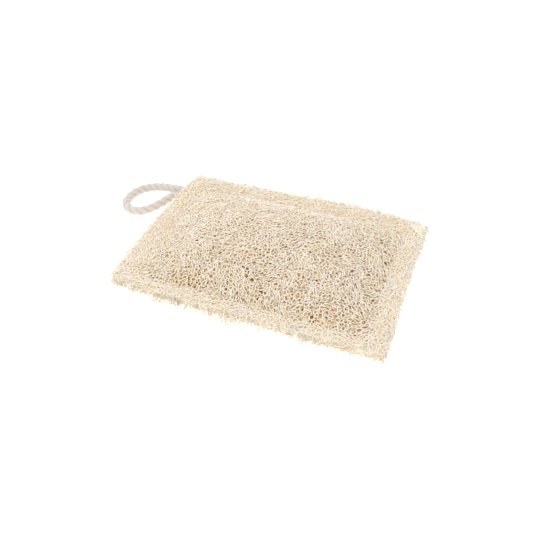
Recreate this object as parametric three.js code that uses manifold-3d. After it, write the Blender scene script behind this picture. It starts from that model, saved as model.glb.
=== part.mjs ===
// Natural loofah pad: two sheets of dried loofah fibre sewn face to face round the edge with cotton
// thread, and a twisted cotton cord caught in the seam of one short side as a hanging loop.
// Millimetres, +Z up, +X along the long side.  The origin lies on the surface under the pad's middle.
import * as THREE from "three";
import { mergeVertices } from "three/addons/utils/BufferGeometryUtils.js";
import Module from "manifold-3d";

const wasm = await Module();
wasm.setup();

// Pad outline and thicknesses
const PAD_LENGTH = 145; // corner to corner along X
const PAD_WIDTH = 101; // corner to corner along Y
const BOW = { left: 1.2, right: -1.2, front: -0.2, back: 2.8 }; // how far each side swells outwards
const BACK_LEAN = 1.6; // the back side swells more towards +X
const CORNER_PULL = 0.012; // share by which the cut corners are rounded in
const SHIFT_Y = -1.5; // brings the middle of the swollen outline over the origin
const REACH_X = 75; // half of the pad's length over its frayed edge
const REACH_Y = 55; // half of the pad's width over its frayed edge
const FLANGE_WIDTH = 9; // pressed rim outside the seam
const FRONT_FLANGE_WIDTH = 5; // the front side is sewn closer to its edge
const SEAM_WIDTH = 2.5; // strip that the stitches pull flat
const FLANGE_THICKNESS = 2.7; // of one sheet
const SEAM_THICKNESS = 2.3; // of one sheet
const SHEET_GAP = 0.3; // between the two sheets' inner faces
const REST_HEIGHT = 10; // from the underside's flat spot to the plane between the sheets

// Pillow inside the seam, and the net of fibres that covers each sheet
const UPPER_DOME = 11;
const LOWER_DOME = 8.8;
const DOME_POWER_X = 3.2;
const DOME_POWER_Y = 3;
const NET_STEPS_X = 36; // half cells along the pillow
const NET_ROWS = 13; // rows of cells across the pillow
const NET_ZIGZAG = 0.16; // share of a cell's size that turns bricks into hexagons
const NET_JITTER = 0.16; // share of a cell's size that a junction wanders
const RIM_NET_JITTER = 0.06; // the same on the pressed rim
const RIDGE_JITTER = 0.3; // how far a junction stands above or below the pillow
const RIDGE_SLOPE = 0.36; // share of the way to a cell's middle over which a ridge falls to its floor
const PILLOW_PIT = 2; // mean depth of a cell's floor below its ridges
const RIM_PIT = 0.9; // mean depth of the dents in the pressed rim
const PIT_SPREAD = 0.25; // share by which a pit may be deeper or shallower than that
const PIT_FLOOR = 1.8; // least thickness of a sheet under a cell
const RIM_JITTER = 0.3;
const EDGE_RAGGED = 0.7; // how far the cut outline wanders
const FRAY_MIN = 0.6; // frayed fibre ends standing out of the cut edge
const FRAY_MAX = 3.4;
const FRAY_ROOT = 0.3; // keeps a fibre end off the corners of the wall that it grows from

// Cotton thread of the seam, a running stitch through both sheets
const THREAD_RADIUS = 0.45;
const FIT_GAP = 0.3; // clear space round the thread and the cord's buried ends
const STITCHES = { front: 14, right: 8, back: 13, left: 9 };
const CORD_STITCH = 13.4; // length of the left side's first stitch, which passes over the cord's ends

// Three-strand cotton cord
const CORD_RADIUS = 2.5;
const CORD_STRANDS = 3;
const CORD_GROOVE = 0.15; // depth of the furrow between strands, as a share of the radius
const CORD_SIDES = 12;
const CORD_STEPS = 72;
const CORD_LAY = 14; // length of one full turn of a strand, right-handed
const CORD_PRESSED = 0.5; // share of its thickness that the cord keeps between the sheets
const CORD_PRESS_FROM = -79.5; // X where the pressing starts and ends
const CORD_PRESS_TO = -75;
const CORD_ROUTE = [
  [-58, 34.8, 10],
  [-66, 34.8, 10],
  [-74, 34.8, 9.7],
  [-82, 35.2, 8.4],
  [-91, 35.9, 6.9],
  [-99.5, 35, 5.1],
  [-105.7, 30.9, 3.6],
  [-108.2, 24, 2.8],
  [-106.4, 17, 2.7],
  [-101.4, 12.9, 2.7],
  [-94.8, 12.9, 3.1],
  [-88.6, 16.7, 4.4],
  [-83.6, 22.1, 6.3],
  [-79, 27, 8.5],
  [-73.4, 29, 9.8],
  [-66, 29.2, 10],
  [-58, 29.2, 10],
];

const LOOFAH_COLOUR = 0xe8dabf;
const THREAD_COLOUR = 0xece2cf;
const CORD_COLOUR = 0xe3d9cf;

const HALF_X = PAD_LENGTH / 2;
const HALF_Y = PAD_WIDTH / 2;
const PILLOW_X = HALF_X - FLANGE_WIDTH - SEAM_WIDTH;
const PILLOW_FRONT = -HALF_Y + FRONT_FLANGE_WIDTH + SEAM_WIDTH;
const PILLOW_BACK = HALF_Y - FLANGE_WIDTH - SEAM_WIDTH;
const PILLOW_Y = (PILLOW_BACK - PILLOW_FRONT) / 2;
const PILLOW_MIDDLE_Y = (PILLOW_BACK + PILLOW_FRONT) / 2;
const SEAM_X = PILLOW_X + SEAM_WIDTH / 2;
const SEAM_FRONT = PILLOW_FRONT - SEAM_WIDTH / 2;
const SEAM_BACK = PILLOW_BACK + SEAM_WIDTH / 2;

// A small seeded random generator (mulberry32), so that every run gives the same pad.
function seededRandom(seed) {
  let state = seed >>> 0;
  return () => {
    state = (state + 0x6d2b79f5) >>> 0;
    let t = Math.imul(state ^ (state >>> 15), 1 | state);
    t = (t + Math.imul(t ^ (t >>> 7), 61 | t)) ^ t;
    return ((t ^ (t >>> 14)) >>> 0) / 4294967296;
  };
}

// Places a point of the plain rectangle in the pad's swollen, round-cornered outline.
function plan(x, y) {
  const u = x / HALF_X;
  const v = y / HALF_Y;
  const sideBow = (u > 0 ? BOW.right : BOW.left) * Math.abs(u) ** 3 * (1 - v * v);
  const endBow =
    (v > 0 ? BOW.back * (1 + BACK_LEAN * u) : BOW.front) * Math.abs(v) ** 3 * (1 - u * u);
  const pull = 1 - CORNER_PULL * (u * v) ** 8;
  return [(x + Math.sign(u) * sideBow) * pull, (y + Math.sign(v) * endBow) * pull + SHIFT_Y];
}

// Lines of the net across one direction: rim, seam strip, pillow, seam strip, rim.
function netLines(half, nearFlange, farFlange, steps) {
  const from = -half + nearFlange + SEAM_WIDTH;
  const to = half - farFlange - SEAM_WIDTH;
  const pillow = Array.from({ length: steps + 1 }, (_, k) => from + ((to - from) * k) / steps);
  const near = [-half, -half + nearFlange / 2, -half + nearFlange];
  const far = [half - farFlange, half - farFlange / 2, half];
  return [...near, ...pillow, ...far];
}

// One sheet as points and triangles, its height measured from the plane between the sheets.
// The outer face is a net: junctions joined by ridges, with a sunken floor in every cell.
function sheetSurface({ dome, seed, highest, flatSpot }) {
  const random = seededRandom(seed);
  const around = (size) => (2 * random() - 1) * size;
  const points = [];
  const triangles = [];
  const addPoint = (x, y, h) => points.push([x, y, h]) - 1;

  const linesX = netLines(HALF_X, FLANGE_WIDTH, FLANGE_WIDTH, NET_STEPS_X);
  const linesY = netLines(HALF_Y, FRONT_FLANGE_WIDTH, FLANGE_WIDTH, NET_ROWS);
  const lastX = linesX.length - 1;
  const lastY = linesY.length - 1;
  const rim = 3; // lines 0 to 3 are the edge, the rim's middle and the two sides of the seam strip
  const ringOf = (i, j) => Math.min(i, j, lastX - i, lastY - j);
  const cellX = (2 * PILLOW_X * 2) / NET_STEPS_X;
  const cellY = (2 * PILLOW_Y) / NET_ROWS;
  const jointAbove = (i, j) => (i + j) % 2 === 0; // a ridge runs from this junction to the next row

  const pillowHeight = (x, y) =>
    SEAM_THICKNESS +
    dome *
      Math.max(0, 1 - Math.abs(x / PILLOW_X) ** DOME_POWER_X) *
      Math.max(0, 1 - Math.abs((y - PILLOW_MIDDLE_Y) / PILLOW_Y) ** DOME_POWER_Y);

  const junction = linesX.map((x0, i) =>
    linesY.map((y0, j) => {
      const ring = ringOf(i, j);
      let x = x0;
      let y = y0;
      let h = SEAM_THICKNESS;
      if (ring > rim) {
        x += around(cellX * NET_JITTER);
        y += around(cellY * NET_JITTER) + (jointAbove(i, j) ? 1 : -1) * cellY * NET_ZIGZAG;
        h = pillowHeight(x, y) + around(RIDGE_JITTER);
      } else if (ring < rim - 1) {
        x += i === 0 || i === lastX ? around(EDGE_RAGGED) : around(cellX * RIM_NET_JITTER);
        y += j === 0 || j === lastY ? around(EDGE_RAGGED) : around(cellY * RIM_NET_JITTER);
        h = FLANGE_THICKNESS + around(RIM_JITTER);
      }
      return addPoint(...plan(x, y), Math.min(h, highest));
    }),
  );

  const middleOf = (loop) =>
    [0, 1, 2].map((k) => loop.reduce((sum, p) => sum + points[p][k], 0) / loop.length);
  const depthAt = (height, depth) =>
    Math.min(depth * (1 + around(PIT_SPREAD)), height - PIT_FLOOR);

  // A cell of the pillow: its ridges slope down to a sunken floor.
  // The cell over the middle of a sheet with a flat spot is level, so that the pad can rest on it.
  const addOpenCell = (loop, level) => {
    const middle = middleOf(loop);
    const depth = level ? 0 : depthAt(middle[2], PILLOW_PIT);
    const floor = loop.map((p) => {
      const inward = (k) => THREE.MathUtils.lerp(points[p][k], middle[k], RIDGE_SLOPE);
      return addPoint(inward(0), inward(1), inward(2) - depth);
    });
    loop.forEach((p, k) => {
      const next = (k + 1) % loop.length;
      triangles.push([p, loop[next], floor[next]], [p, floor[next], floor[k]]);
    });
    for (let k = 1; k < floor.length - 1; k++) triangles.push([floor[0], floor[k], floor[k + 1]]);
  };

  // A cell of the pressed rim: a shallow dent.
  const addDent = (loop) => {
    const [x, y, h] = middleOf(loop);
    const pit = addPoint(x, y, h - depthAt(h, RIM_PIT));
    loop.forEach((p, k) => triangles.push([p, loop[(k + 1) % loop.length], pit]));
  };
  const square = (i, j) => {
    const [near, far] = [junction[i], junction[i + 1]];
    return [near[j], far[j], far[j + 1], near[j + 1]];
  };
  const addFlat = ([a, b, c, d]) => triangles.push([a, b, c], [a, c, d]);

  // A row of cells: bricks of two grid squares, each row shifted by half a brick.
  const addRow = (j, from, to) => {
    for (let i = from, wide; i < to; i += wide) {
      wide = jointAbove(i, j) && i + 2 <= to ? 2 : 1;
      const columns = Array.from({ length: wide + 1 }, (_, k) => i + k);
      const near = columns.map((c) => junction[c][j]);
      const far = columns.map((c) => junction[c][j + 1]);
      const loop = [...near, ...far.reverse()];
      const overMiddleX = linesX[i] <= 0 && linesX[i + wide] > 0;
      const overMiddleY = linesY[j] <= 0 && linesY[j + 1] > 0;
      if (from < rim) addDent(loop);
      else addOpenCell(loop, flatSpot && overMiddleX && overMiddleY);
    }
  };

  // Every row runs over the short sides' rim and seam strip, then over what lies between them.
  for (let j = 0; j < lastY; j++) {
    const fromEdge = Math.min(j, lastY - 1 - j);
    const start = Math.min(fromEdge, rim);
    for (let k = 0; k < start; k++) {
      for (const i of [k, lastX - 1 - k]) {
        if (k < rim - 1) addDent(square(i, j));
        else addFlat(square(i, j));
      }
    }
    if (fromEdge === rim - 1) {
      for (let i = start; i < lastX - start; i++) addFlat(square(i, j));
    } else {
      addRow(j, start, lastX - start);
    }
  }

  // The cut edge: every wall triangle is drawn out into a frayed fibre end.
  const outline = [
    ...linesX.slice(0, lastX).map((_, i) => ({ p: junction[i][0], out: [0, -1] })),
    ...linesY.slice(0, lastY).map((_, j) => ({ p: junction[lastX][j], out: [1, 0] })),
    ...linesX.slice(0, lastX).map((_, i) => ({ p: junction[lastX - i][lastY], out: [0, 1] })),
    ...linesY.slice(0, lastY).map((_, j) => ({ p: junction[0][lastY - j], out: [-1, 0] })),
  ];
  const feet = outline.map(({ p }) => addPoint(points[p][0], points[p][1], SHEET_GAP / 2));
  const centre = addPoint(0, SHIFT_Y, SHEET_GAP / 2);
  const fray = (loop, [outX, outY]) => {
    const weights = loop.map(() => FRAY_ROOT + random());
    const total = weights.reduce((a, b) => a + b);
    const root = [0, 1, 2].map(
      (k) => loop.reduce((sum, p, n) => sum + points[p][k] * weights[n], 0) / total,
    );
    const length = FRAY_MIN + (FRAY_MAX - FRAY_MIN) * random() ** 2;
    const tip = addPoint(
      THREE.MathUtils.clamp(root[0] + outX * length, -REACH_X, REACH_X),
      THREE.MathUtils.clamp(root[1] + outY * length, -REACH_Y, REACH_Y),
      root[2],
    );
    loop.forEach((p, k) => triangles.push([p, loop[(k + 1) % loop.length], tip]));
  };
  outline.forEach(({ p, out }, k) => {
    const next = (k + 1) % outline.length;
    fray([feet[k], feet[next], outline[next].p], out);
    fray([feet[k], outline[next].p, p], out);
    triangles.push([centre, feet[next], feet[k]]);
  });
  return { points, triangles };
}

// Points and triangles as a closed solid that joins and cuts can work on.
function solidFrom(points, triangles) {
  return new wasm.Manifold(
    new wasm.Mesh({
      numProp: 3,
      vertProperties: new Float32Array(points.flat()),
      triVerts: new Uint32Array(triangles.flat()),
    }),
  );
}

// A three.js geometry as a closed solid.
function solidOfGeometry(geometry) {
  const bare = geometry.clone();
  bare.deleteAttribute("normal");
  bare.deleteAttribute("uv");
  const merged = mergeVertices(bare, 1e-4);
  return new wasm.Manifold(
    new wasm.Mesh({
      numProp: 3,
      vertProperties: new Float32Array(merged.attributes.position.array),
      triVerts: new Uint32Array(merged.index.array),
    }),
  );
}

// The largest body of a solid as a three.js geometry: loose scraps of a cut are dropped.
function geometryOf(solid) {
  const body = solid.decompose().sort((a, b) => b.volume() - a.volume())[0];
  const mesh = body.getMesh();
  const geometry = new THREE.BufferGeometry();
  geometry.setAttribute("position", new THREE.BufferAttribute(mesh.vertProperties, 3));
  geometry.setIndex(new THREE.BufferAttribute(mesh.triVerts, 1));
  return geometry;
}

// A sheet placed above (side 1) or below (side -1) the plane between the sheets.
function sheetSolid(side, options) {
  const { points, triangles } = sheetSurface(options);
  return solidFrom(
    points.map(([x, y, h]) => [x, y, REST_HEIGHT + side * h]),
    side > 0 ? triangles : triangles.map(([a, b, c]) => [a, c, b]),
  );
}

// The seam's needle holes in order round the pad, with the seam's direction at each.
function needleHoles() {
  const corners = [
    [-SEAM_X, SEAM_FRONT],
    [SEAM_X, SEAM_FRONT],
    [SEAM_X, SEAM_BACK],
    [-SEAM_X, SEAM_BACK],
  ];
  const holes = Object.entries(STITCHES).flatMap(([side, count], s) => {
    const from = new THREE.Vector2(...corners[s]);
    const to = new THREE.Vector2(...corners[(s + 1) % corners.length]);
    const first = side === "left" ? CORD_STITCH / from.distanceTo(to) : 1 / count;
    return Array.from({ length: count }, (_, k) => {
      const share = k === 0 ? 0 : first + ((k - 1) * (1 - first)) / (count - 1);
      const at = from.clone().lerp(to, share);
      return new THREE.Vector3(...plan(at.x, at.y), 0);
    });
  });
  return holes.map((at, k) => {
    const before = holes[(k + holes.length - 1) % holes.length];
    const after = holes[(k + 1) % holes.length];
    const along = after.clone().sub(at).normalize().add(at.clone().sub(before).normalize()).normalize();
    return { at, along };
  });
}

// The thread, over one stitch and under the next, as one closed square tube.
function threadSolid(holes) {
  const up = new THREE.Vector3(0, 0, 1);
  const runHeight = SHEET_GAP / 2 + SEAM_THICKNESS + FIT_GAP + THREAD_RADIUS;
  const rings = holes.flatMap(({ at, along }, k) => {
    const goesDown = k % 2 === 1;
    const across = new THREE.Vector3().crossVectors(up, along).multiplyScalar(THREAD_RADIUS);
    const corner = along.clone().multiplyScalar(goesDown ? 1 : -1).add(up).multiplyScalar(THREAD_RADIUS);
    const ringAt = (level) => {
      const centre = at.clone().setZ(REST_HEIGHT + level * runHeight);
      return [
        [1, 1],
        [1, -1],
        [-1, -1],
        [-1, 1],
      ].map(([a, b]) => centre.clone().addScaledVector(corner, a).addScaledVector(across, b).toArray());
    };
    return goesDown ? [ringAt(1), ringAt(-1)] : [ringAt(-1), ringAt(1)];
  });
  const sides = 4;
  const index = (ring, side) => (ring % rings.length) * sides + (side % sides);
  const triangles = rings.flatMap((_, r) =>
    Array.from({ length: sides }, (_, s) => [
      [index(r, s), index(r, s + 1), index(r + 1, s + 1)],
      [index(r, s), index(r + 1, s + 1), index(r + 1, s)],
    ]).flat(),
  );
  return solidFrom(rings.flat(), triangles);
}

// Plain square holes through both sheets for the thread.
function needleHoleSolid({ at, along }) {
  const size = 2 * (THREAD_RADIUS + FIT_GAP);
  const hole = new THREE.BoxGeometry(size, size, 4 * FLANGE_THICKNESS);
  hole.rotateZ(Math.atan2(along.y, along.x));
  hole.translate(at.x, at.y, REST_HEIGHT);
  return solidOfGeometry(hole);
}

// The cord's route, whose frames turn with the lay of the strands.
class TwistedRoute extends THREE.CatmullRomCurve3 {
  computeFrenetFrames(segments, closed) {
    const frames = super.computeFrenetFrames(segments, closed);
    const turns = this.getLength() / CORD_LAY;
    frames.tangents.forEach((tangent, k) => {
      const angle = (2 * Math.PI * turns * k) / segments;
      frames.normals[k].applyAxisAngle(tangent, angle);
      frames.binormals[k].applyAxisAngle(tangent, angle);
    });
    return frames;
  }
}

// The cord as one twisted tube with a furrow between its strands, pressed flat where it lies between
// the sheets.  Clearance makes it fatter and longer, as the tool that cuts its bed.
function cordSolid(clearance) {
  const radius = CORD_RADIUS + clearance;
  const groove = clearance > 0 ? 0 : CORD_GROOVE;
  const section = Array.from({ length: CORD_SIDES }, (_, k) => {
    const angle = (2 * Math.PI * k) / CORD_SIDES;
    const r = radius * (1 - groove + groove * Math.cos(CORD_STRANDS * angle));
    return new THREE.Vector2(r * Math.cos(angle), r * Math.sin(angle));
  });
  const route = CORD_ROUTE.map((point) => new THREE.Vector3(...point));
  route.at(0).x += clearance;
  route.at(-1).x += clearance;
  const geometry = new THREE.ExtrudeGeometry(new THREE.Shape(section), {
    steps: CORD_STEPS,
    bevelEnabled: false,
    extrudePath: new TwistedRoute(route, false, "centripetal"),
  });
  const keep = (CORD_PRESSED * CORD_RADIUS + clearance) / radius;
  const position = geometry.getAttribute("position");
  for (let k = 0; k < position.count; k++) {
    const pressed = THREE.MathUtils.smoothstep(position.getX(k), CORD_PRESS_FROM, CORD_PRESS_TO);
    const share = 1 + (keep - 1) * pressed;
    position.setZ(k, REST_HEIGHT + (position.getZ(k) - REST_HEIGHT) * share);
  }
  return solidOfGeometry(geometry);
}

function meshOf(name, solid, colour, roughness) {
  const look = { color: colour, roughness, metalness: 0, flatShading: true };
  const mesh = new THREE.Mesh(geometryOf(solid), new THREE.MeshStandardMaterial(look));
  mesh.name = name;
  return mesh;
}

const holes = needleHoles();
const cordBed = cordSolid(FIT_GAP);
const cuts = holes.map(needleHoleSolid).reduce((all, hole) => all.add(hole), cordBed);
const upperSheet = sheetSolid(1, { dome: UPPER_DOME, seed: 11, highest: Infinity, flatSpot: false });
const lowerSheet = sheetSolid(-1, { dome: LOWER_DOME, seed: 23, highest: REST_HEIGHT, flatSpot: true });

const loofahPad = new THREE.Group();
loofahPad.name = "loofah_pad";
loofahPad.add(
  meshOf("upper_loofah_sheet", upperSheet.subtract(cuts), LOOFAH_COLOUR, 0.9),
  meshOf("lower_loofah_sheet", lowerSheet.subtract(cuts), LOOFAH_COLOUR, 0.9),
  meshOf("seam_thread", threadSolid(holes), THREAD_COLOUR, 0.85),
  meshOf("hanging_cord", cordSolid(0), CORD_COLOUR, 0.9),
);

export default loofahPad;
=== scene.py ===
import math

import bpy
import numpy as np
from mathutils import Matrix
from mathutils.geometry import delaunay_2d_cdt


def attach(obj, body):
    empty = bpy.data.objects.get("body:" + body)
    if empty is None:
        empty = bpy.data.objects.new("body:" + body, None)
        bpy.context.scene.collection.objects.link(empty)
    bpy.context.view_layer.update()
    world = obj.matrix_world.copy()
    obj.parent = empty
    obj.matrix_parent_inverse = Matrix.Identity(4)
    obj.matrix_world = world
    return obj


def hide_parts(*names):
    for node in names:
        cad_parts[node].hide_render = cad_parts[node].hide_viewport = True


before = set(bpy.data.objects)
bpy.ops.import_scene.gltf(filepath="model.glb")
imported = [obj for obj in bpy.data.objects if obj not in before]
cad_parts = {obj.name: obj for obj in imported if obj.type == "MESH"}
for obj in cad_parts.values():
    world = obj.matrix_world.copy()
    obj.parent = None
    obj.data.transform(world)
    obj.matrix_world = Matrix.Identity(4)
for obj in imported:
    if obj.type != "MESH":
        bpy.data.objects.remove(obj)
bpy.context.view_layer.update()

# Camera: it stands off the pad's front long side, a little to its right, and looks down on it.
# Its angle, distance and lens are worked out from where the rim's four corners lie in the picture.
PICTURE_PX = 540
LENS_PX = 612.0  # focal length, in pixels of that picture
AIM_MM = np.array([0.0, -1.5, 10.0])  # the middle of the plane between the sheets
AIM_PX = (276.0, 253.5)  # where that point lies in the picture
AZIMUTH, ELEVATION = math.radians(21.2), math.radians(40.7)
DISTANCE_MM = 331.7
SENSOR_MM = 36.0
MM = 0.001

towards_camera = np.array(
    [
        math.sin(AZIMUTH) * math.cos(ELEVATION),
        -math.cos(AZIMUTH) * math.cos(ELEVATION),
        math.sin(ELEVATION),
    ]
)
camera_right = np.array([math.cos(AZIMUTH), math.sin(AZIMUTH), 0.0])
camera_up = np.cross(towards_camera, camera_right)
camera = bpy.data.objects.new("camera", bpy.data.cameras.new("camera"))
camera.data.sensor_width = SENSOR_MM
camera.data.lens = LENS_PX / PICTURE_PX * SENSOR_MM
camera.data.shift_x = (PICTURE_PX / 2 - AIM_PX[0]) / PICTURE_PX
camera.data.shift_y = (AIM_PX[1] - PICTURE_PX / 2) / PICTURE_PX
camera.data.clip_start = 0.01
camera_place = np.eye(4)
camera_place[:3, 0] = camera_right
camera_place[:3, 1] = camera_up
camera_place[:3, 2] = towards_camera
camera_place[:3, 3] = (AIM_MM + DISTANCE_MM * towards_camera) * MM
camera.matrix_world = Matrix(camera_place.tolist())
bpy.context.scene.collection.objects.link(camera)
bpy.context.scene.camera = camera
bpy.context.scene.view_settings.view_transform = "Standard"

# Hanging cord: three strands of undyed cotton yarn laid up right-handed into a 5 mm cord, folded to a
# loop.  Its two ends lie side by side between the sheets, pressed flat by the seam; the loop droops
# from the left short side down to the surface.
REST_HEIGHT = 10.0  # the plane between the sheets, in millimetres above the surface
CORD_LAY = 14.0  # length of one full turn of a strand
STRAND_OFFSET = 1.24  # from the cord's axis to a strand's axis
STRAND_THICK, STRAND_WIDE = 1.43, 1.8  # half sizes of a strand across the cord, out and around
YARNS = 27  # round the cord, drawn coarser than the real yarn, so that they show
YARN_RELIEF = 0.05  # depth of the grooves between yarns
CORD_PRESSED = 0.5  # share of its height that is left between the sheets
CORD_PRESS_FROM, CORD_PRESS_TO = -79.5, -75.0  # where along x the pressing sets in
CORD_RINGS = 180  # of points along its skin
CORD_ROUTE = [
    (-58, 34.8, 10),
    (-66, 34.8, 10),
    (-74, 34.8, 9.7),
    (-82, 35.2, 8.4),
    (-91, 35.9, 6.9),
    (-99.5, 35, 5.1),
    (-105.7, 30.9, 3.6),
    (-108.2, 24, 2.8),
    (-106.4, 17, 2.7),
    (-101.4, 12.9, 2.7),
    (-94.8, 12.9, 3.1),
    (-88.6, 16.7, 4.4),
    (-83.6, 22.1, 6.3),
    (-79, 27, 8.5),
    (-73.4, 29, 9.8),
    (-66, 29.2, 10),
    (-58, 29.2, 10),
]


def srgb(text):
    """An sRGB hex colour as the linear RGBA that a shader socket takes."""
    channels = np.array([int(text[k : k + 2], 16) for k in (1, 3, 5)]) / 255
    linear = np.where(channels <= 0.04045, channels / 12.92, ((channels + 0.055) / 1.055) ** 2.4)
    return (*linear.tolist(), 1.0)


def add_node(material, kind, inputs=(), **settings):
    """A shader node with these settings; each input is a plain value, or a socket to link from."""
    node = material.node_tree.nodes.new(kind)
    for name, value in settings.items():
        setattr(node, name, value)
    for name, value in dict(inputs).items():
        if isinstance(value, bpy.types.NodeSocket):
            material.node_tree.links.new(value, node.inputs[name])
        else:
            node.inputs[name].default_value = value
    return node


def new_material(name):
    """An empty node material with its output node."""
    material = bpy.data.materials.new(name)
    material.use_nodes = True
    material.node_tree.nodes.clear()
    return material, material.node_tree.nodes.new("ShaderNodeOutputMaterial")


def unit(vectors):
    """Vectors along the last axis, scaled to length one."""
    return vectors / np.maximum(np.linalg.norm(vectors, axis=-1, keepdims=True), 1e-9)


def smooth_step(value, start, end):
    """0 before start, 1 after end, with a smooth ramp between."""
    t = np.clip((value - start) / (end - start), 0, 1)
    return t * t * (3 - 2 * t)


def smooth_route(points, count):
    """Centripetal Catmull-Rom curve through the points, as count points at equal steps of length."""
    p = np.array(points, float)
    p = np.vstack([2 * p[0] - p[1], p, 2 * p[-1] - p[-2]])
    a, b, c, d = p[:-3], p[1:-2], p[2:-1], p[3:]
    gaps = np.linalg.norm(np.diff(p, axis=0), axis=1, keepdims=True) ** 0.5
    k0, k1, k2 = gaps[:-2], gaps[1:-1], gaps[2:]
    m1 = k1 * ((b - a) / k0 - (c - a) / (k0 + k1) + (c - b) / k1)
    m2 = k1 * ((c - b) / k1 - (d - b) / (k1 + k2) + (d - c) / k2)
    between = 60  # fine steps from each point to the next
    t = np.linspace(0, 1, between, endpoint=False)[None, :, None]
    b, c, m1, m2 = (v[:, None, :] for v in (b, c, m1, m2))
    curve = b + t * m1 + t**2 * (3 * (c - b) - 2 * m1 - m2) + t**3 * (2 * (b - c) + m1 + m2)
    curve = np.vstack([curve.reshape(-1, 3), p[-2]])
    along = np.concatenate([[0], np.cumsum(np.linalg.norm(np.diff(curve, axis=0), axis=1))])
    steps = np.linspace(0, along[-1], count)
    return np.stack([np.interp(steps, along, curve[:, k]) for k in range(3)], -1), steps


def ring_faces(tubes, rings, sides, closed=False):
    """Faces of tubes numbered tube by tube, ring by ring: quads between rings, and a cap at each end."""
    start = (np.arange(tubes) * rings * sides)[:, None, None]
    ring = np.arange(rings if closed else rings - 1)[None, :, None]
    side = np.arange(sides)[None, None, :]
    here, there = start + ring * sides, start + (ring + 1) % rings * sides
    turn = (side + 1) % sides
    quads = np.stack([here + side, here + turn, there + turn, there + side], -1).reshape(-1, 4)
    if closed:
        return [quads]
    first = start[:, 0] + np.arange(sides)[::-1]
    last = start[:, 0] + (rings - 1) * sides + np.arange(sides)
    return [quads, np.vstack([first, last])]


def new_piece(name, points, face_groups, material, **values):
    """A mesh object from points in millimetres and arrays of faces; values are numbers for each point."""
    mesh = bpy.data.meshes.new(name)
    sizes = np.concatenate([np.full(len(faces), faces.shape[1]) for faces in face_groups])
    corners = np.concatenate([faces.ravel() for faces in face_groups])
    mesh.vertices.add(len(points))
    mesh.vertices.foreach_set("co", (points * MM).astype(np.float32).ravel())
    mesh.loops.add(len(corners))
    mesh.loops.foreach_set("vertex_index", corners.astype(np.int32))
    mesh.polygons.add(len(sizes))
    mesh.polygons.foreach_set("loop_start", np.concatenate([[0], np.cumsum(sizes)[:-1]]).astype(np.int32))
    mesh.polygons.foreach_set("use_smooth", np.ones(len(sizes), bool))
    for key, numbers in values.items():
        mesh.attributes.new(key, "FLOAT", "POINT").data.foreach_set("value", numbers.astype(np.float32))
    mesh.update(calc_edges=True)
    mesh.materials.append(material)
    piece = bpy.data.objects.new(name, mesh)
    bpy.context.scene.collection.objects.link(piece)
    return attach(piece, "root")


def cotton_yarn(name, pale, blotch_and_painted_shade_colour):
    """Undyed spun cotton: matte and soft, mottled at random, paler on the crown of each yarn and with
    painted shade in the furrows.
    """
    material, output = new_material(name)
    depth = add_node(material, "ShaderNodeAttribute", attribute_name="furrow")
    place = add_node(material, "ShaderNodeTexCoord").outputs["Object"]
    # Blotches of about 6 mm, and lint about 0.3 mm across.
    blotch = add_node(material, "ShaderNodeTexNoise", {"Vector": place, "Scale": 1 / 0.006})
    lint = add_node(material, "ShaderNodeTexNoise", {"Vector": place, "Scale": 1 / 0.0003, "Detail": 4.0})
    # Random blotches, plus painted shade that deepens into the furrows between strands and yarns.
    blotch_and_furrow_shade = add_node(
        material,
        "ShaderNodeMath",
        {0: blotch.outputs["Fac"], 1: 0.35, 2: depth.outputs["Fac"]},
        operation="MULTIPLY_ADD",
    )
    colour = add_node(
        material,
        "ShaderNodeMix",
        {0: blotch_and_furrow_shade.outputs["Value"], 6: srgb(pale), 7: srgb(blotch_and_painted_shade_colour)},
        data_type="RGBA",
    )
    bump = add_node(
        material, "ShaderNodeBump", {"Height": lint.outputs["Fac"], "Strength": 0.35, "Distance": 0.0002}
    )
    surface = add_node(
        material,
        "ShaderNodeBsdfPrincipled",
        {
            "Base Color": colour.outputs[2],
            "Normal": bump.outputs["Normal"],
            "Roughness": 0.9,
            "Specular IOR Level": 0.2,
            "Sheen Weight": 0.25,
            "Sheen Roughness": 0.5,
        },
    )
    material.node_tree.links.new(surface.outputs["BSDF"], output.inputs["Surface"])
    return material


def press_cord(points):
    """Points of the cord brought nearer the plane between the sheets where the sheets press on it."""
    pressed = points.copy()
    share = 1 + (CORD_PRESSED - 1) * smooth_step(points[..., 0], CORD_PRESS_FROM, CORD_PRESS_TO)
    pressed[..., 2] = REST_HEIGHT + (points[..., 2] - REST_HEIGHT) * share
    return pressed


def laid_cord(route, along, sides):
    """The cord's skin round its route.  Across the cord, the skin is the outermost of three ovals, one a
    strand, and they turn once in a lay.  Yarns run along the cord as fine ribs.  Returns the points, and
    how deep each lies in the furrows between strands and yarns, from 0 to 1."""
    axis = unit(np.gradient(route, axis=0))
    out = unit(np.cross([0.0, 0.0, 1.0], axis))
    up = np.cross(axis, out)
    angle = 2 * np.pi * np.arange(sides)[None, :] / sides
    turned = angle - 2 * np.pi * along[:, None] / CORD_LAY
    third = 2 * np.pi / 3
    from_strand = (turned + third / 2) % third - third / 2
    cos, sin = np.cos(from_strand), np.sin(from_strand)
    square = (cos / STRAND_THICK) ** 2 + (sin / STRAND_WIDE) ** 2
    middle = STRAND_OFFSET * cos / STRAND_THICK**2
    rest = (STRAND_OFFSET / STRAND_THICK) ** 2 - 1
    reach = (middle + np.sqrt(middle**2 - square * rest)) / square
    crown = np.abs(np.cos(YARNS / 2 * angle)) * np.ones_like(reach)
    furrow = np.abs(from_strand) / (third / 2)
    reach = reach - YARN_RELIEF * (1 - crown)
    points = route[:, None, :] + (reach * np.cos(angle))[..., None] * out[:, None, :]
    points = points + (reach * np.sin(angle))[..., None] * up[:, None, :]
    return points, np.clip(furrow**8 * 0.8 + 0.2 * (1 - crown), 0, 1)


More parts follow.
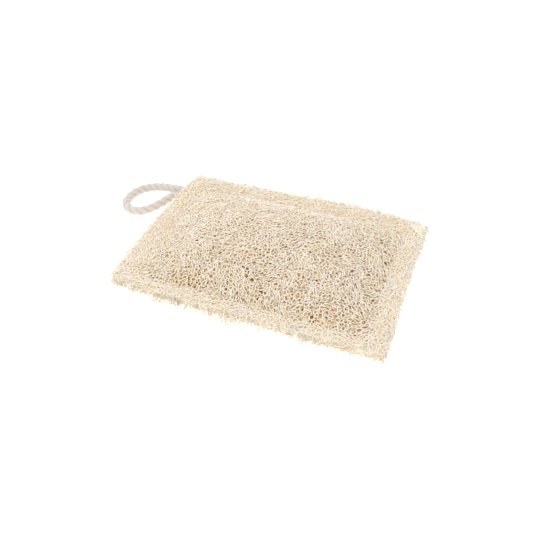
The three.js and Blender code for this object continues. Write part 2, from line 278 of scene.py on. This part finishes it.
cord_sides = 4 * YARNS
cord_route, cord_along = smooth_route(CORD_ROUTE, CORD_RINGS)
cord_points, cord_furrow_shade = laid_cord(cord_route, cord_along, cord_sides)
# Its second colour is painted shade in the cord's furrows and the far end of its random mottle.
cord_cotton = cotton_yarn("undyed_cotton_cord", "#d2ccc7", "#b6a796")
cord = new_piece(
    "hanging_cord_strands",
    press_cord(cord_points).reshape(-1, 3),
    ring_faces(1, len(cord_route), cord_sides),
    cord_cotton,
    furrow=cord_furrow_shade.reshape(-1),
)
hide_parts("hanging_cord")
(press_cord(cord_route)[::3] * MM).tolist()

# Loofah sheets: two cut and pressed sheets of dried loofah gourd, a springy web of pale plant fibre.
# They are sewn face to face, thick in the middle and pinched to a flat rim outside the seam, so the
# pad swells like a pillow.  Each is a net over a packed middle, with loose fibres and a frayed edge.
PAD_LENGTH, PAD_WIDTH = 145.0, 101.0  # corner to corner
BOW_LEFT, BOW_RIGHT, BOW_FRONT, BOW_BACK = 1.2, -1.2, -0.2, 2.8  # how far each side swells
BACK_LEAN = 1.6  # the back side swells more towards the right
CORNER_PULL = 0.012
SHIFT_Y = -1.5
RIM_WIDTH, FRONT_RIM_WIDTH = 9.0, 5.0  # outside the seam
SEAM_WIDTH = 2.5
RIM_THICKNESS, SEAM_THICKNESS = 2.7, 2.3  # of one sheet
SHEET_GAP = 0.3
UPPER_DOME, LOWER_DOME = 11.0, 8.8
DOME_POWER_X, DOME_POWER_Y = 3.2, 3.0
HALF_X, HALF_Y = PAD_LENGTH / 2, PAD_WIDTH / 2
PILLOW_X = HALF_X - RIM_WIDTH - SEAM_WIDTH
PILLOW_Y = HALF_Y - (RIM_WIDTH + FRONT_RIM_WIDTH) / 2 - SEAM_WIDTH
PILLOW_MIDDLE_Y = (FRONT_RIM_WIDTH - RIM_WIDTH) / 2
LACE_WIDTH = 5.0  # of the open net without a packed middle at the back right corner
LACE_SPREAD_X, LACE_SPREAD_Y = 60.0, 40.0  # how far it goes along each side, squared
LACE_REACH = 2.4  # how much further out it goes than the plain edge
EDGE_RAG = 1.5  # how far the cut edge wanders
EDGE_SHADE_WIDTH = 3.0  # of the band of painted grey shade along the cut edge
FACE_TONE = 0.05  # of the fibre at a sheet's outer face
FULL_SHADE_DEPTH = 2.9  # depth at which the painted warm shade reaches its full amber
SWIRL_X, SWIRL_Y = 2.0, 1.6  # how far a net is drawn aside
TUFTS = 160  # of cut ends round the edge
HOLE_RADII, HOLE_DEPTHS = (0.8, 1.7), (0.8, 3.4)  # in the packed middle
CORE_INSET, CORE_DEPTH = 0.6, 0.8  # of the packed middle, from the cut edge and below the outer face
CORE_CLEARANCE = 0.8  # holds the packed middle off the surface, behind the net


def plan(x, y):
    """A point of the plain rectangle, moved to the pad's outline: each side swells by its bow, most at
    its middle and less towards the pad's centre, and the corners are drawn in."""
    u, v = x / HALF_X, y / HALF_Y
    side = np.where(u > 0, BOW_RIGHT, BOW_LEFT) * np.abs(u) ** 3 * (1 - v * v)
    end = np.where(v > 0, BOW_BACK * (1 + BACK_LEAN * u), BOW_FRONT) * np.abs(v) ** 3 * (1 - u * u)
    pull = 1 - CORNER_PULL * np.clip(u * v, -1, 1) ** 8
    return (x + np.sign(u) * side) * pull, (y + np.sign(v) * end) * pull + SHIFT_Y


def edge_distance(x, y):
    """How far a point of the plain rectangle lies inside its nearest side."""
    return np.minimum(HALF_X - np.abs(x), HALF_Y - np.abs(y))


def pillow_distance(x, y):
    """How far a point lies inside the seam strip's inner side; it is negative on the strip and the rim."""
    return np.minimum(PILLOW_X - np.abs(x), PILLOW_Y - np.abs(y - PILLOW_MIDDLE_Y))


def softness(x, y):
    """0 on the pressed rim, 1 well inside the pillow."""
    return smooth_step(pillow_distance(x, y), -SEAM_WIDTH - 3, 6)


def openness(x, y):
    """How open the pillow's net is, from a little at its back left to 1 at its front right."""
    return 0.3 + 0.7 * smooth_step(x / HALF_X - 0.7 * y / HALF_Y, -1.3, 0.9)


def sheet_height(x, y, dome):
    """A sheet's outer face above the plane between the sheets: the seam's thickness, a low swell across
    the rim, and inside the seam a dome, the product of two power curves, with low lumps on it."""
    rise = np.clip(1 - np.abs(x / PILLOW_X) ** DOME_POWER_X, 0, 1)
    rise = rise * np.clip(1 - np.abs((y - PILLOW_MIDDLE_Y) / PILLOW_Y) ** DOME_POWER_Y, 0, 1)
    outer = np.maximum(edge_distance(x, y), 0)
    inner = np.maximum(-pillow_distance(x, y) - SEAM_WIDTH, 0)
    swell = np.clip(np.sin(np.pi * outer / (outer + inner + 1e-6)), 0, 1) ** 0.7
    lumps = np.sin(0.17 * x + 0.11 * y + 0.6) * np.sin(0.21 * y - 0.07 * x + 1.1)
    lumps = 0.6 * lumps + 0.3 * np.sin(0.33 * x - 0.29 * y)
    return SEAM_THICKNESS + (dome + lumps) * rise + (RIM_THICKNESS - SEAM_THICKNESS) * swell


def loofah_fibre(name, painted_edge_shade, bleached, painted_straw_shade, painted_amber_shade):
    """Dried loofah fibre: the gourd's cellulose strands, washed and dried, matte with a faint gleam.  Cut
    ends and the cut edge carry painted grey shade, the outside is bleached off-white, and deeper in it
    turns straw to amber as painted warm shade between the fibres.  How far in a point lies is stored
    with it as its tone."""
    material, output = new_material(name)
    tone = add_node(material, "ShaderNodeAttribute", attribute_name="tone")
    place = add_node(material, "ShaderNodeTexCoord").outputs["Object"]
    # Patches about 12 mm across, and a grain of about 0.25 mm.
    patch = add_node(material, "ShaderNodeTexNoise", {"Vector": place, "Scale": 1 / 0.012, "Detail": 3.0})
    grain = add_node(material, "ShaderNodeTexNoise", {"Vector": place, "Scale": 1 / 0.00025})
    varied = add_node(
        material,
        "ShaderNodeMath",
        {0: patch.outputs["Fac"], 1: 0.24, 2: tone.outputs["Fac"]},
        operation="MULTIPLY_ADD",
    )
    colour = add_node(material, "ShaderNodeValToRGB", {"Fac": varied.outputs["Value"]})
    ramp = colour.color_ramp.elements
    ramp.new(0.3)
    ramp.new(0.6)
    # The first stop is painted grey shade for cut edges; straw and amber are painted warm shade with depth.
    stops = ((0.0, painted_edge_shade), (0.14, bleached), (0.5, painted_straw_shade), (0.88, painted_amber_shade))
    for stop, (position, text) in zip(ramp, stops):
        stop.position = position
        stop.color = srgb(text)
    bump = add_node(
        material, "ShaderNodeBump", {"Height": grain.outputs["Fac"], "Strength": 0.3, "Distance": 0.0001}
    )
    surface = add_node(
        material,
        "ShaderNodeBsdfPrincipled",
        {
            "Base Color": colour.outputs["Color"],
            "Normal": bump.outputs["Normal"],
            "Roughness": 0.75,
            "Specular IOR Level": 0.2,
        },
    )
    material.node_tree.links.new(surface.outputs["BSDF"], output.inputs["Surface"])
    return material


def scattered_points(rng, spacing, wander):
    """Rows of points over the plain rectangle and a margin, every second row moved by half a step, and each
    point then moved at random by up to wander of a step: the middles of a net's openings."""
    margin = 6.0
    rows = np.arange(-HALF_Y - margin, HALF_Y + margin, spacing * 0.866)
    columns = np.arange(-HALF_X - margin, HALF_X + margin, spacing)
    x, y = np.meshgrid(columns, rows)
    x = x + spacing / 2 * (np.arange(len(rows)) % 2)[:, None]
    points = np.stack([x, y], -1).reshape(-1, 2)
    return points + rng.uniform(-wander, wander, points.shape) * spacing


def net_links(points):
    """The net that separates scattered points: a junction in the middle of each triangle between them,
    and a link across each side that two triangles share, so three links meet at every junction."""
    _, _, faces, *_ = delaunay_2d_cdt(points.tolist(), [], [], 0, 1e-6)
    triangles = np.array(faces)
    sides = np.sort(np.concatenate([triangles[:, [0, 1]], triangles[:, [1, 2]], triangles[:, [2, 0]]]), 1)
    owner = np.tile(np.arange(len(triangles)), 3)
    order = np.lexsort((sides[:, 1], sides[:, 0]))
    same = np.flatnonzero((sides[order][1:] == sides[order][:-1]).all(1))
    return points[triangles].mean(1), np.stack([owner[order][same], owner[order][same + 1]], 1)


def link_curves(joints, links, segments, curl):
    """Each link as a cubic curve between its junctions.  At a junction the two most opposite links run
    smoothly into each other, and the third leans towards one of them, as a branching fibre does."""
    ends = links.T.reshape(-1)
    chord = joints[links[:, 1]] - joints[links[:, 0]]
    leave = unit(np.concatenate([chord, -chord]))
    tangent = leave.copy()
    order = np.argsort(ends, kind="stable")
    _, first, count = np.unique(ends[order], return_index=True, return_counts=True)
    trio = order[first[count == 3][:, None] + np.arange(3)]
    d = leave[trio]
    facing = np.stack([(d[:, (k + 1) % 3] * d[:, (k + 2) % 3]).sum(-1) for k in range(3)], -1)
    branch = np.argmin(facing, 1)
    rows = np.arange(len(trio))
    one, two = trio[rows, (branch + 1) % 3], trio[rows, (branch + 2) % 3]
    through = unit(leave[one] - leave[two])
    tangent[one], tangent[two] = through, -through
    third = trio[rows, branch]
    tangent[third] = unit(leave[third] + 0.6 * through * np.where(rows % 2, 1, -1)[:, None])
    reach = np.linalg.norm(chord, axis=1)[:, None] * curl
    a, d = joints[links[:, 0]], joints[links[:, 1]]
    b, c = a + tangent[: len(links)] * reach, d + tangent[len(links) :] * reach
    t = np.linspace(0, 1, segments + 1)[None, :, None]
    a, b, c, d = (p[:, None, :] for p in (a, b, c, d))
    return a * (1 - t) ** 3 + 3 * b * t * (1 - t) ** 2 + 3 * c * t**2 * (1 - t) + d * t**3


def fibre_tubes(curves, radius, tone, sides=3):
    """Round fibres along curves: rings across each curve, with the curve's own radius and tone at each of
    its points.  Returns points, faces and tones."""
    axis = unit(np.gradient(curves, axis=1))
    guide = np.where(np.abs(axis[..., 2:]) > 0.9, [1.0, 0.0, 0.0], [0.0, 0.0, 1.0])
    out = unit(np.cross(guide, axis))
    up = np.cross(axis, out)
    angle = 2 * np.pi * (np.arange(sides) + 0.25) / sides
    ring = np.cos(angle)[:, None] * out[:, :, None, :] + np.sin(angle)[:, None] * up[:, :, None, :]
    points = curves[:, :, None, :] + ring * radius[:, :, None, None]
    tone = np.repeat(np.broadcast_to(tone, curves.shape[:2]).ravel(), sides)
    return points.reshape(-1, 3), ring_faces(len(curves), curves.shape[1], sides), tone


def raise_on_sheet(flat, depth, side, dome):
    """Points of the plain rectangle placed in a sheet, depth below its outer face; side is 1 for the
    upper sheet and -1 for the lower."""
    x, y = plan(flat[..., 0], flat[..., 1])
    height = sheet_height(flat[..., 0], flat[..., 1], dome) - depth
    return np.stack([x, y, REST_HEIGHT + side * np.maximum(height, SHEET_GAP)], -1)


def keep_above_surface(points, radius):
    """Points whose fibres of this radius would sink into the surface are lifted onto it."""
    points[..., 2] = np.maximum(points[..., 2], 1.9 * radius + 0.02)
    return points


def squeezed(flat, depth):
    """A depth in the pillow brought down to what the pressed rim has room for."""
    return depth * (0.7 + 0.3 * softness(flat[..., 0], flat[..., 1]))


def tone_at(flat, depth):
    """The fibre's tone: painted warm shade that turns it amber with depth, and painted grey shade
    along the cut edge.
    """
    x, y = flat[..., 0], flat[..., 1]
    edge_shade = 1 - smooth_step(edge_distance(x, y), 0, EDGE_SHADE_WIDTH)
    return FACE_TONE + np.clip(depth, 0, FULL_SHADE_DEPTH) / FULL_SHADE_DEPTH - 0.07 * edge_shade


def swirled(flat, phase):
    """Points of a net drawn sideways in slow waves, so that its openings lean and stretch in all
    directions."""
    x, y = flat.T
    aside = SWIRL_X * np.sin(0.21 * y + 0.06 * x + phase)
    return np.stack([x + aside, y + SWIRL_Y * np.sin(0.23 * x - 0.05 * y + 2 * phase)], -1)


def fibre_net(seed, sheet, wanted, spacing, wander, depths, radius, segments, torn=0.0):
    """A net of fibres in a sheet: junctions at random depths within a range, curved links that flare
    where they join, and only where wanted(x, y) holds.  Torn is the share of links that are missing
    where the sheet is most open.  Two nets with one seed are parts of the same net."""
    rng = np.random.default_rng(seed)
    flat, links = net_links(scattered_points(rng, spacing, wander))
    flat = swirled(flat, seed)
    depth = squeezed(flat, rng.uniform(*depths, len(flat)))
    middle = flat[links].mean(1).T
    missing = torn * openness(*middle) * softness(*middle)
    links = links[wanted(*middle) & (rng.uniform(0, 1, len(links)) >= missing)]
    joints = keep_above_surface(raise_on_sheet(flat, depth, *sheet), radius)
    curves = keep_above_surface(link_curves(joints, links, segments, 0.36), radius)
    t = np.linspace(0, 1, segments + 1)
    thick = radius * rng.uniform(0.7, 1.2, (len(curves), 1)) * (0.9 + 0.5 * (2 * t - 1) ** 4)
    ends = tone_at(flat, depth)[links]
    tone = ends[:, :1] * (1 - t) + ends[:, 1:] * t + rng.uniform(-0.08, 0.08, (len(curves), 1))
    return fibre_tubes(curves, thick, tone)


def ragged(x, y):
    """An uneven wave along the cut edge, from 0 to 1."""
    return 0.5 + 0.28 * np.sin(0.31 * x + 0.47 * y + 1) + 0.22 * np.sin(0.83 * x - 0.71 * y + 2)


def lace(x, y):
    """1 at the back right corner, where the web is pulled open, falling to 0 away from it."""
    return np.exp(-((x - HALF_X) ** 2 / LACE_SPREAD_X + (y - HALF_Y) ** 2 / LACE_SPREAD_Y))


def on_sheet(x, y):
    """Out to the ragged cut edge."""
    return edge_distance(x, y) > -0.1 - EDGE_RAG * ragged(x, y) ** 2 - LACE_REACH * lace(x, y)


def behind_lace(x, y):
    """All of the sheet but the open corner, where only one sheet reaches the edge."""
    return on_sheet(x, y) & (lace(x, y) < 0.3)


def on_pillow(x, y):
    """Inside the seam, with an uneven overlap onto it."""
    return pillow_distance(x, y) > 1 - 3 * ragged(x, y)


def on_rim(x, y):
    """The rest of the sheet."""
    return on_sheet(x, y) & ~on_pillow(x, y)


def wandering(rng, start, heading, length, segments, swing):
    """Flat curves from their starts: the heading of each drifts in a slow random wave of that swing."""
    count = len(start)
    t = np.linspace(0, 1, segments + 1)[None, :]
    wave = t * rng.uniform(0.4, 1.2, (count, 1)) + rng.uniform(0, 1, (count, 1))
    heading = heading[:, None] + rng.uniform(0.3, 1, (count, 1)) * swing * np.sin(2 * np.pi * wave)
    step = np.stack([np.cos(heading), np.sin(heading)], -1) * (length[:, None] / segments)[..., None]
    return start[:, None, :] + np.cumsum(step, 1) - step[:, :1], t


def loose_fibres(rng, sheet, wanted, count, lengths, depths, radius, segments, stray=np.pi):
    """Single fibres that wander over a sheet, in and out of its face.  Each sets out along the nearest edge
    or strays from it by up to that angle."""
    start = rng.uniform(-1, 1, (count * 5, 2)) * [HALF_X, HALF_Y]
    start = start[wanted(start[:, 0], start[:, 1])][:count]
    count = len(start)
    by_end = HALF_X - np.abs(start[:, 0]) < HALF_Y - np.abs(start[:, 1])
    heading = np.where(by_end, np.pi / 2, 0) + np.pi * rng.integers(0, 2, count)
    heading = heading + rng.uniform(-stray, stray, count)
    flat, t = wandering(rng, start, heading, rng.uniform(*lengths, count), segments, 1.1)
    flat = np.clip(flat, [-HALF_X - 0.8, -HALF_Y - 0.8], [HALF_X + 0.8, HALF_Y + 0.8])
    depth = rng.uniform(*depths, (count, 1)) + 0.25 * np.sin(9 * t + rng.uniform(0, 6, (count, 1)))
    depth = squeezed(flat, depth)
    curves = keep_above_surface(raise_on_sheet(flat, depth, *sheet), radius)
    thick = radius * rng.uniform(0.75, 1.3, (count, 1)) * (1 - 0.5 * np.abs(2 * t - 1) ** 3)
    return fibre_tubes(curves, thick, tone_at(flat, depth) + rng.uniform(-0.1, 0.1, (count, 1)))


def edge_walk(share):
    """A point on the plain rectangle's edge, and the way out of it there, for each share of its length."""
    sides = np.array([PAD_LENGTH, PAD_WIDTH, PAD_LENGTH, PAD_WIDTH])
    corners = np.array([(-HALF_X, -HALF_Y), (HALF_X, -HALF_Y), (HALF_X, HALF_Y), (-HALF_X, HALF_Y)])
    along = share * sides.sum()
    side = np.searchsorted(np.cumsum(sides), along, side="right") % 4
    part = (along - np.concatenate([[0], np.cumsum(sides)])[side]) / sides[side]
    point = corners[side] + part[:, None] * (corners[(side + 1) % 4] - corners[side])
    return point, side * np.pi / 2 - np.pi / 2


def frayed_ends(rng, sheet, count, radius, segments):
    """Cut fibre ends along a sheet's edge: each is rooted inside it at a random height and leans out, and a
    few are long, fewest on the neatly cut right side.  They stand in loose tufts and thin to their tips."""
    share = rng.uniform(0, 1, count)
    tuft = np.round(share * TUFTS) / TUFTS + rng.normal(0, 0.0012, count)
    share = np.where(rng.uniform(0, 1, count) < 0.5, tuft, share) % 1
    point, out = edge_walk(share)
    heading = out + rng.normal(0, 0.6, count)
    inset = rng.uniform(0.4, 2.2, count) - 0.8 * ragged(point[:, 0], point[:, 1]) ** 2
    start = point - inset[:, None] * np.stack([np.cos(out), np.sin(out)], -1)
    longer = rng.exponential(1, count) * np.interp(np.cos(out), (-1, 0, 1), (1.0, 1.9, 0.5))
    length = np.clip(inset + 0.6 + longer, 1.2, 7)
    flat, t = wandering(rng, start, heading, length, segments, 0.6)
    x, y = plan(flat[..., 0], flat[..., 1])
    height = rng.uniform(0, RIM_THICKNESS, (count, 1)) + t * rng.normal(-0.1, 0.7, (count, 1))
    curves = keep_above_surface(np.stack([x, y, REST_HEIGHT + sheet[0] * height], -1), radius)
    thick = radius * rng.uniform(0.7, 1.3, (count, 1)) * (1 - 0.4 * t)
    # Towards its tip each end fades into the painted grey shade.
    return fibre_tubes(curves, thick, rng.uniform(0.05, 0.3, (count, 1)) - 0.36 * t * t)


def edge_loops(rng, sheet, share, sizes, droops, radius, segments):
    """Fibres that leave the cut edge and curl back into it: part of a circle, drooping as it goes out."""
    point, out = edge_walk(share)
    count = len(share)
    size = rng.uniform(*sizes, (count, 1))
    lean = rng.normal(0, 0.5, (count, 1)) + out[:, None]
    t = np.linspace(0, 1, segments + 1)[None, :]
    angle = lean + (t - 0.5) * rng.uniform(4.0, 5.6, (count, 1))
    reach = size * rng.uniform(0.4, 1.1, (count, 1))
    x = point[:, :1] + reach * np.cos(lean) + size * np.cos(angle)
    y = point[:, 1:] + reach * np.sin(lean) + size * np.sin(angle)
    x, y = plan(x, y)
    height = rng.uniform(0.3, RIM_THICKNESS - 0.3, (count, 1)) + rng.normal(0, 0.8, (count, 1)) * (t - 0.5)
    droop = rng.uniform(*droops, (count, 1)) * np.sin(np.pi * t)
    curves = keep_above_surface(np.stack([x, y, REST_HEIGHT + sheet[0] * height - droop], -1), radius)
    thick = radius * rng.uniform(0.7, 1.2, (count, 1)) * np.ones_like(t)
    # The loops carry the painted grey shade of the cut edge.
    return fibre_tubes(curves, thick, rng.uniform(-0.2, 0, (count, 1)))


def sunk_holes(rng, flat, count):
    """Depth of the holes in the packed fibre: round pits scattered over the pillow, most of them where it
    is open, each with its own width and depth and a rounded floor."""
    middle = rng.uniform(-1, 1, (count * 4, 2)) * [PILLOW_X, PILLOW_Y] + [0, PILLOW_MIDDLE_Y]
    middle = middle[rng.uniform(0, 1, len(middle)) < openness(*middle.T)][:count]
    wide = rng.uniform(*HOLE_RADII, len(middle))
    deep = rng.uniform(*HOLE_DEPTHS, len(middle))
    away = np.linalg.norm(flat[None] - middle[:, None, None], axis=-1) / wide[:, None, None]
    return (deep[:, None, None] * np.clip(1.15 - away**2, 0, 1)).max(0)


def sheet_core(rng, sheet, step, holes):
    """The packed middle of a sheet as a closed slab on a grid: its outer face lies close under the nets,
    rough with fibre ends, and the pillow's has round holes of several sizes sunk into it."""
    across = np.linspace(CORE_INSET - HALF_X, HALF_X - CORE_INSET, round(PAD_LENGTH / step))
    along = np.linspace(CORE_INSET - HALF_Y, HALF_Y - CORE_INSET, round(PAD_WIDTH / step))
    x, y = np.meshgrid(across, along)
    flat = np.stack([x, y], -1) - lace(x, y)[..., None] * LACE_WIDTH
    x, y = flat[..., 0], flat[..., 1]
    inside = softness(x, y)
    depth = CORE_DEPTH + inside * (0.25 + 0.5 * openness(x, y)) + rng.uniform(-0.2, 0.2, x.shape)
    depth = depth + inside * sunk_holes(rng, flat, holes)
    outer = keep_above_surface(raise_on_sheet(flat, depth, *sheet), CORE_CLEARANCE)
    rows, columns = x.shape
    index = np.arange(rows * columns).reshape(rows, columns)
    quads = np.stack([index[:-1, :-1], index[:-1, 1:], index[1:, 1:], index[1:, :-1]], -1).reshape(-1, 4)
    border = np.concatenate([index[0, :-1], index[:-1, -1], index[-1, :0:-1], index[:0:-1, 0]])
    feet = outer.reshape(-1, 3)[border] * [1, 1, 0] + [0, 0, REST_HEIGHT + sheet[0] * SHEET_GAP / 2]
    foot = index.size + np.arange(len(border))
    wall = np.stack([foot, np.roll(foot, -1), np.roll(border, -1), border], -1)
    faces = [np.vstack([quads, wall]), foot[None, ::-1]]
    # The slab's colour follows depth, so its sunk holes take the painted amber shade.
    tone = np.concatenate([tone_at(flat, depth).ravel(), np.zeros(len(border))])
    points = np.vstack([outer.reshape(-1, 3), feet])
    return points, faces if sheet[0] > 0 else [group[:, ::-1] for group in faces], tone


def join_parts(parts):
    """Several lots of points, faces and tones as one."""
    counts = np.cumsum([0] + [len(points) for points, _, _ in parts])
    faces = [group + start for (_, groups, _), start in zip(parts, counts) for group in groups]
    return np.vstack([p for p, _, _ in parts]), faces, np.concatenate([t for _, _, t in parts])


def sheet_piece(name, node, *parts):
    """One layer of a sheet as a piece that stands for the sheet's CAD node."""
    points, faces, tone = join_parts(parts)
    piece = new_piece(name, points, faces, dried_loofah, tone=tone)
    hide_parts(node)
    return piece


# Colours: painted grey edge shade, bleached face, then painted straw and amber shade with depth.
dried_loofah = loofah_fibre("dried_loofah_fibre", "#e1dacd", "#fdf5e9", "#f7e5c0", "#c28730")
near_loops = (0.05, 0.15)  # the stretch of the edge, left of the front side's middle, with most loops

rng = np.random.default_rng(11)
upper = (1, UPPER_DOME)
upper_core = sheet_core(rng, upper, step=0.9, holes=440)
sheet_piece("upper_sheet_core", "upper_loofah_sheet", upper_core)
sheet_piece(
    "upper_sheet_inner_net",
    "upper_loofah_sheet",
    fibre_net(
        12, upper, on_pillow, spacing=2.0, wander=0.5, depths=(0.5, 1.3), radius=0.33, segments=2, torn=0.3
    ),
)
sheet_piece(
    "upper_sheet_outer_net",
    "upper_loofah_sheet",
    fibre_net(
        11, upper, on_pillow, spacing=2.0, wander=0.5, depths=(-0.1, 0.6), radius=0.31, segments=3, torn=0.1
    ),
)
sheet_piece(
    "upper_sheet_rim_net",
    "upper_loofah_sheet",
    fibre_net(11, upper, on_rim, spacing=2.0, wander=0.5, depths=(-0.1, 0.6), radius=0.31, segments=2),
    loose_fibres(
        rng,
        upper,
        on_rim,
        count=1200,
        lengths=(2.5, 9),
        depths=(-0.3, 0.6),
        radius=0.22,
        segments=5,
        stray=0.7,
    ),
)
sheet_piece(
    "upper_sheet_loose_fibres",
    "upper_loofah_sheet",
    loose_fibres(
        rng, upper, on_pillow, count=2400, lengths=(3, 11), depths=(-0.1, 0.9), radius=0.22, segments=6
    ),
)
sheet_piece(
    "upper_sheet_frayed_edge",
    "upper_loofah_sheet",
    frayed_ends(rng, upper, count=1400, radius=0.23, segments=4),
    edge_loops(rng, upper, rng.uniform(0, 1, 60), sizes=(0.6, 1.5), droops=(0, 2), radius=0.19, segments=8),
)

rng = np.random.default_rng(23)
lower = (-1, LOWER_DOME)
lower_core = sheet_core(rng, lower, step=1.1, holes=300)
sheet_piece("lower_sheet_core", "lower_loofah_sheet", lower_core)
sheet_piece(
    "lower_sheet_outer_net",
    "lower_loofah_sheet",
    fibre_net(
        23, lower, behind_lace, spacing=2.1, wander=0.45, depths=(-0.1, 0.9), radius=0.29, segments=2
    ),
)
sheet_piece(
    "lower_sheet_loose_fibres",
    "lower_loofah_sheet",
    loose_fibres(
        rng, lower, on_pillow, count=900, lengths=(3, 12), depths=(-0.1, 0.8), radius=0.22, segments=5
    ),
    loose_fibres(
        rng,
        lower,
        on_rim,
        count=900,
        lengths=(2.5, 9),
        depths=(-0.3, 0.6),
        radius=0.22,
        segments=5,
        stray=0.9,
    ),
)
sheet_piece(
    "lower_sheet_frayed_edge",
    "lower_loofah_sheet",
    frayed_ends(rng, lower, count=900, radius=0.23, segments=4),
    edge_loops(rng, lower, rng.uniform(0, 1, 50), sizes=(0.6, 1.5), droops=(0, 2), radius=0.19, segments=8),
    edge_loops(
        rng,
        lower,
        rng.uniform(*near_loops, 45),
        sizes=(0.8, 2.0),
        droops=(0.5, 3.5),
        radius=0.19,
        segments=10,
    ),
)

# Seam thread: two-ply cotton thread sewn as a running stitch through both sheets, just inside the rim.
# It is pulled tight, so each stitch sinks into the fibre.
STITCHES = {"front": 14, "right": 8, "back": 13, "left": 9}
CORD_STITCH = 13.4  # the left side's first stitch passes over the cord's ends
THREAD_RADIUS = 0.4
STITCH_HEIGHT = 1.75  # of the thread's middle above the plane between the sheets
STITCH_SAMPLES = 14  # points along one stitch
PLY_TURN = 0.9  # turn of the plies from one point to the next, in radians
SEAM_X = PILLOW_X + SEAM_WIDTH / 2
SEAM_FRONT, SEAM_BACK = (PILLOW_MIDDLE_Y + way * (PILLOW_Y + SEAM_WIDTH / 2) for way in (-1, 1))


def needle_holes():
    """Holes evenly spaced along each side of the seam, apart from the long stitch over the cord."""
    front, back = SEAM_FRONT, SEAM_BACK
    corners = np.array([(-SEAM_X, front), (SEAM_X, front), (SEAM_X, back), (-SEAM_X, back)])
    holes = []
    for k, (side, count) in enumerate(STITCHES.items()):
        start, end = corners[k], corners[(k + 1) % 4]
        first = CORD_STITCH / np.linalg.norm(end - start) if side == "left" else 1 / count
        share = np.concatenate([[0], np.linspace(first, 1, count)[:-1]])
        holes.append(start + share[:, None] * (end - start))
    return np.stack(plan(*np.vstack(holes).T), -1)


def running_stitch(holes, samples):
    """The middle line of a closed thread through the holes, over one stitch and under the next, each stitch
    a flat-topped arch, and the thread's direction along it."""
    t = np.linspace(0, 1, samples, endpoint=False)
    after = np.roll(holes, -1, 0)
    flat = holes[:, None, :] + t[None, :, None] * (after - holes)[:, None, :]
    over = np.where(np.arange(len(holes)) % 2 == 0, 1, -1)[:, None]
    height = REST_HEIGHT + over * STITCH_HEIGHT * (1 - np.abs(2 * t - 1) ** 7)
    curve = np.concatenate([flat, height[..., None]], -1).reshape(1, -1, 3)
    wrapped = np.concatenate([curve[:, -2:], curve, curve[:, :2]], 1)
    return curve, unit(np.gradient(wrapped, axis=1)[:, 2:-2])


thread_curve, thread_axis = running_stitch(needle_holes(), STITCH_SAMPLES)
thread_out = unit(np.cross([0.0, 0.0, 1.0], thread_axis * [1, 1, 0] + [1e-4, 0, 0]))
thread_up = np.cross(thread_axis, thread_out)
thread_sides = 8
# Two plies twist round each other, so the thread is oval across and the oval turns along it.
ply_angle = 2 * np.pi * np.arange(thread_sides) / thread_sides
ply_turn = np.arange(thread_curve.shape[1])[:, None] * PLY_TURN
ply_radius = THREAD_RADIUS * (0.82 + 0.18 * np.cos(2 * (ply_angle[None, :] - ply_turn)))
thread_points = (
    thread_curve[0][:, None, :]
    + (ply_radius * np.cos(ply_angle))[..., None] * thread_out[0][:, None, :]
    + (ply_radius * np.sin(ply_angle))[..., None] * thread_up[0][:, None, :]
)
thread = new_piece(
    "seam_thread_stitches",
    thread_points.reshape(-1, 3),
    ring_faces(1, thread_curve.shape[1], thread_sides, closed=True),
    cotton_yarn("undyed_cotton_thread", "#f1e8d8", "#d8c5a4"),
    furrow=np.zeros(ply_radius.size),
)
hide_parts("seam_thread")

# Surface and light: a plain pale board, a broad soft light overhead and a bright even surround.
floor_half = 3000.0
floor_corners = np.array([(-1, -1, 0), (1, -1, 0), (1, 1, 0), (-1, 1, 0)]) * floor_half
# White board: matt, and lit from within a little, so that it shows no shadow.
white_board, board_output = new_material("matt_white_board")
board = add_node(
    white_board,
    "ShaderNodeBsdfPrincipled",
    {
        "Base Color": srgb("#f8f8f7"),
        "Roughness": 0.9,
        "Specular IOR Level": 0.1,
        "Emission Color": (1.0, 1.0, 1.0, 1.0),
        "Emission Strength": 0.6,
    },
)
white_board.node_tree.links.new(board.outputs["BSDF"], board_output.inputs["Surface"])
floor_mesh = bpy.data.meshes.new("floor")
floor_mesh.from_pydata((floor_corners * MM).tolist(), [], [(0, 1, 2, 3)])
floor_mesh.materials.append(white_board)
floor = bpy.data.objects.new("floor", floor_mesh)
bpy.context.scene.collection.objects.link(floor)

soft_light = bpy.data.objects.new("overhead_softbox", bpy.data.lights.new("overhead_softbox", "AREA"))
soft_light.data.energy = 5.6
soft_light.data.size = 1.2
soft_light.location = (-0.4, 0.0, 0.9)
bpy.context.scene.collection.objects.link(soft_light)
surround = bpy.data.worlds.new("bright_surround")
surround.use_nodes = True
surround.node_tree.nodes["Background"].inputs["Color"].default_value = (1.0, 1.0, 1.0, 1.0)
surround.node_tree.nodes["Background"].inputs["Strength"].default_value = 0.95
bpy.context.scene.world = surround
bpy.context.scene.cycles.diffuse_bounces = 8  # light goes on deep between the fibres
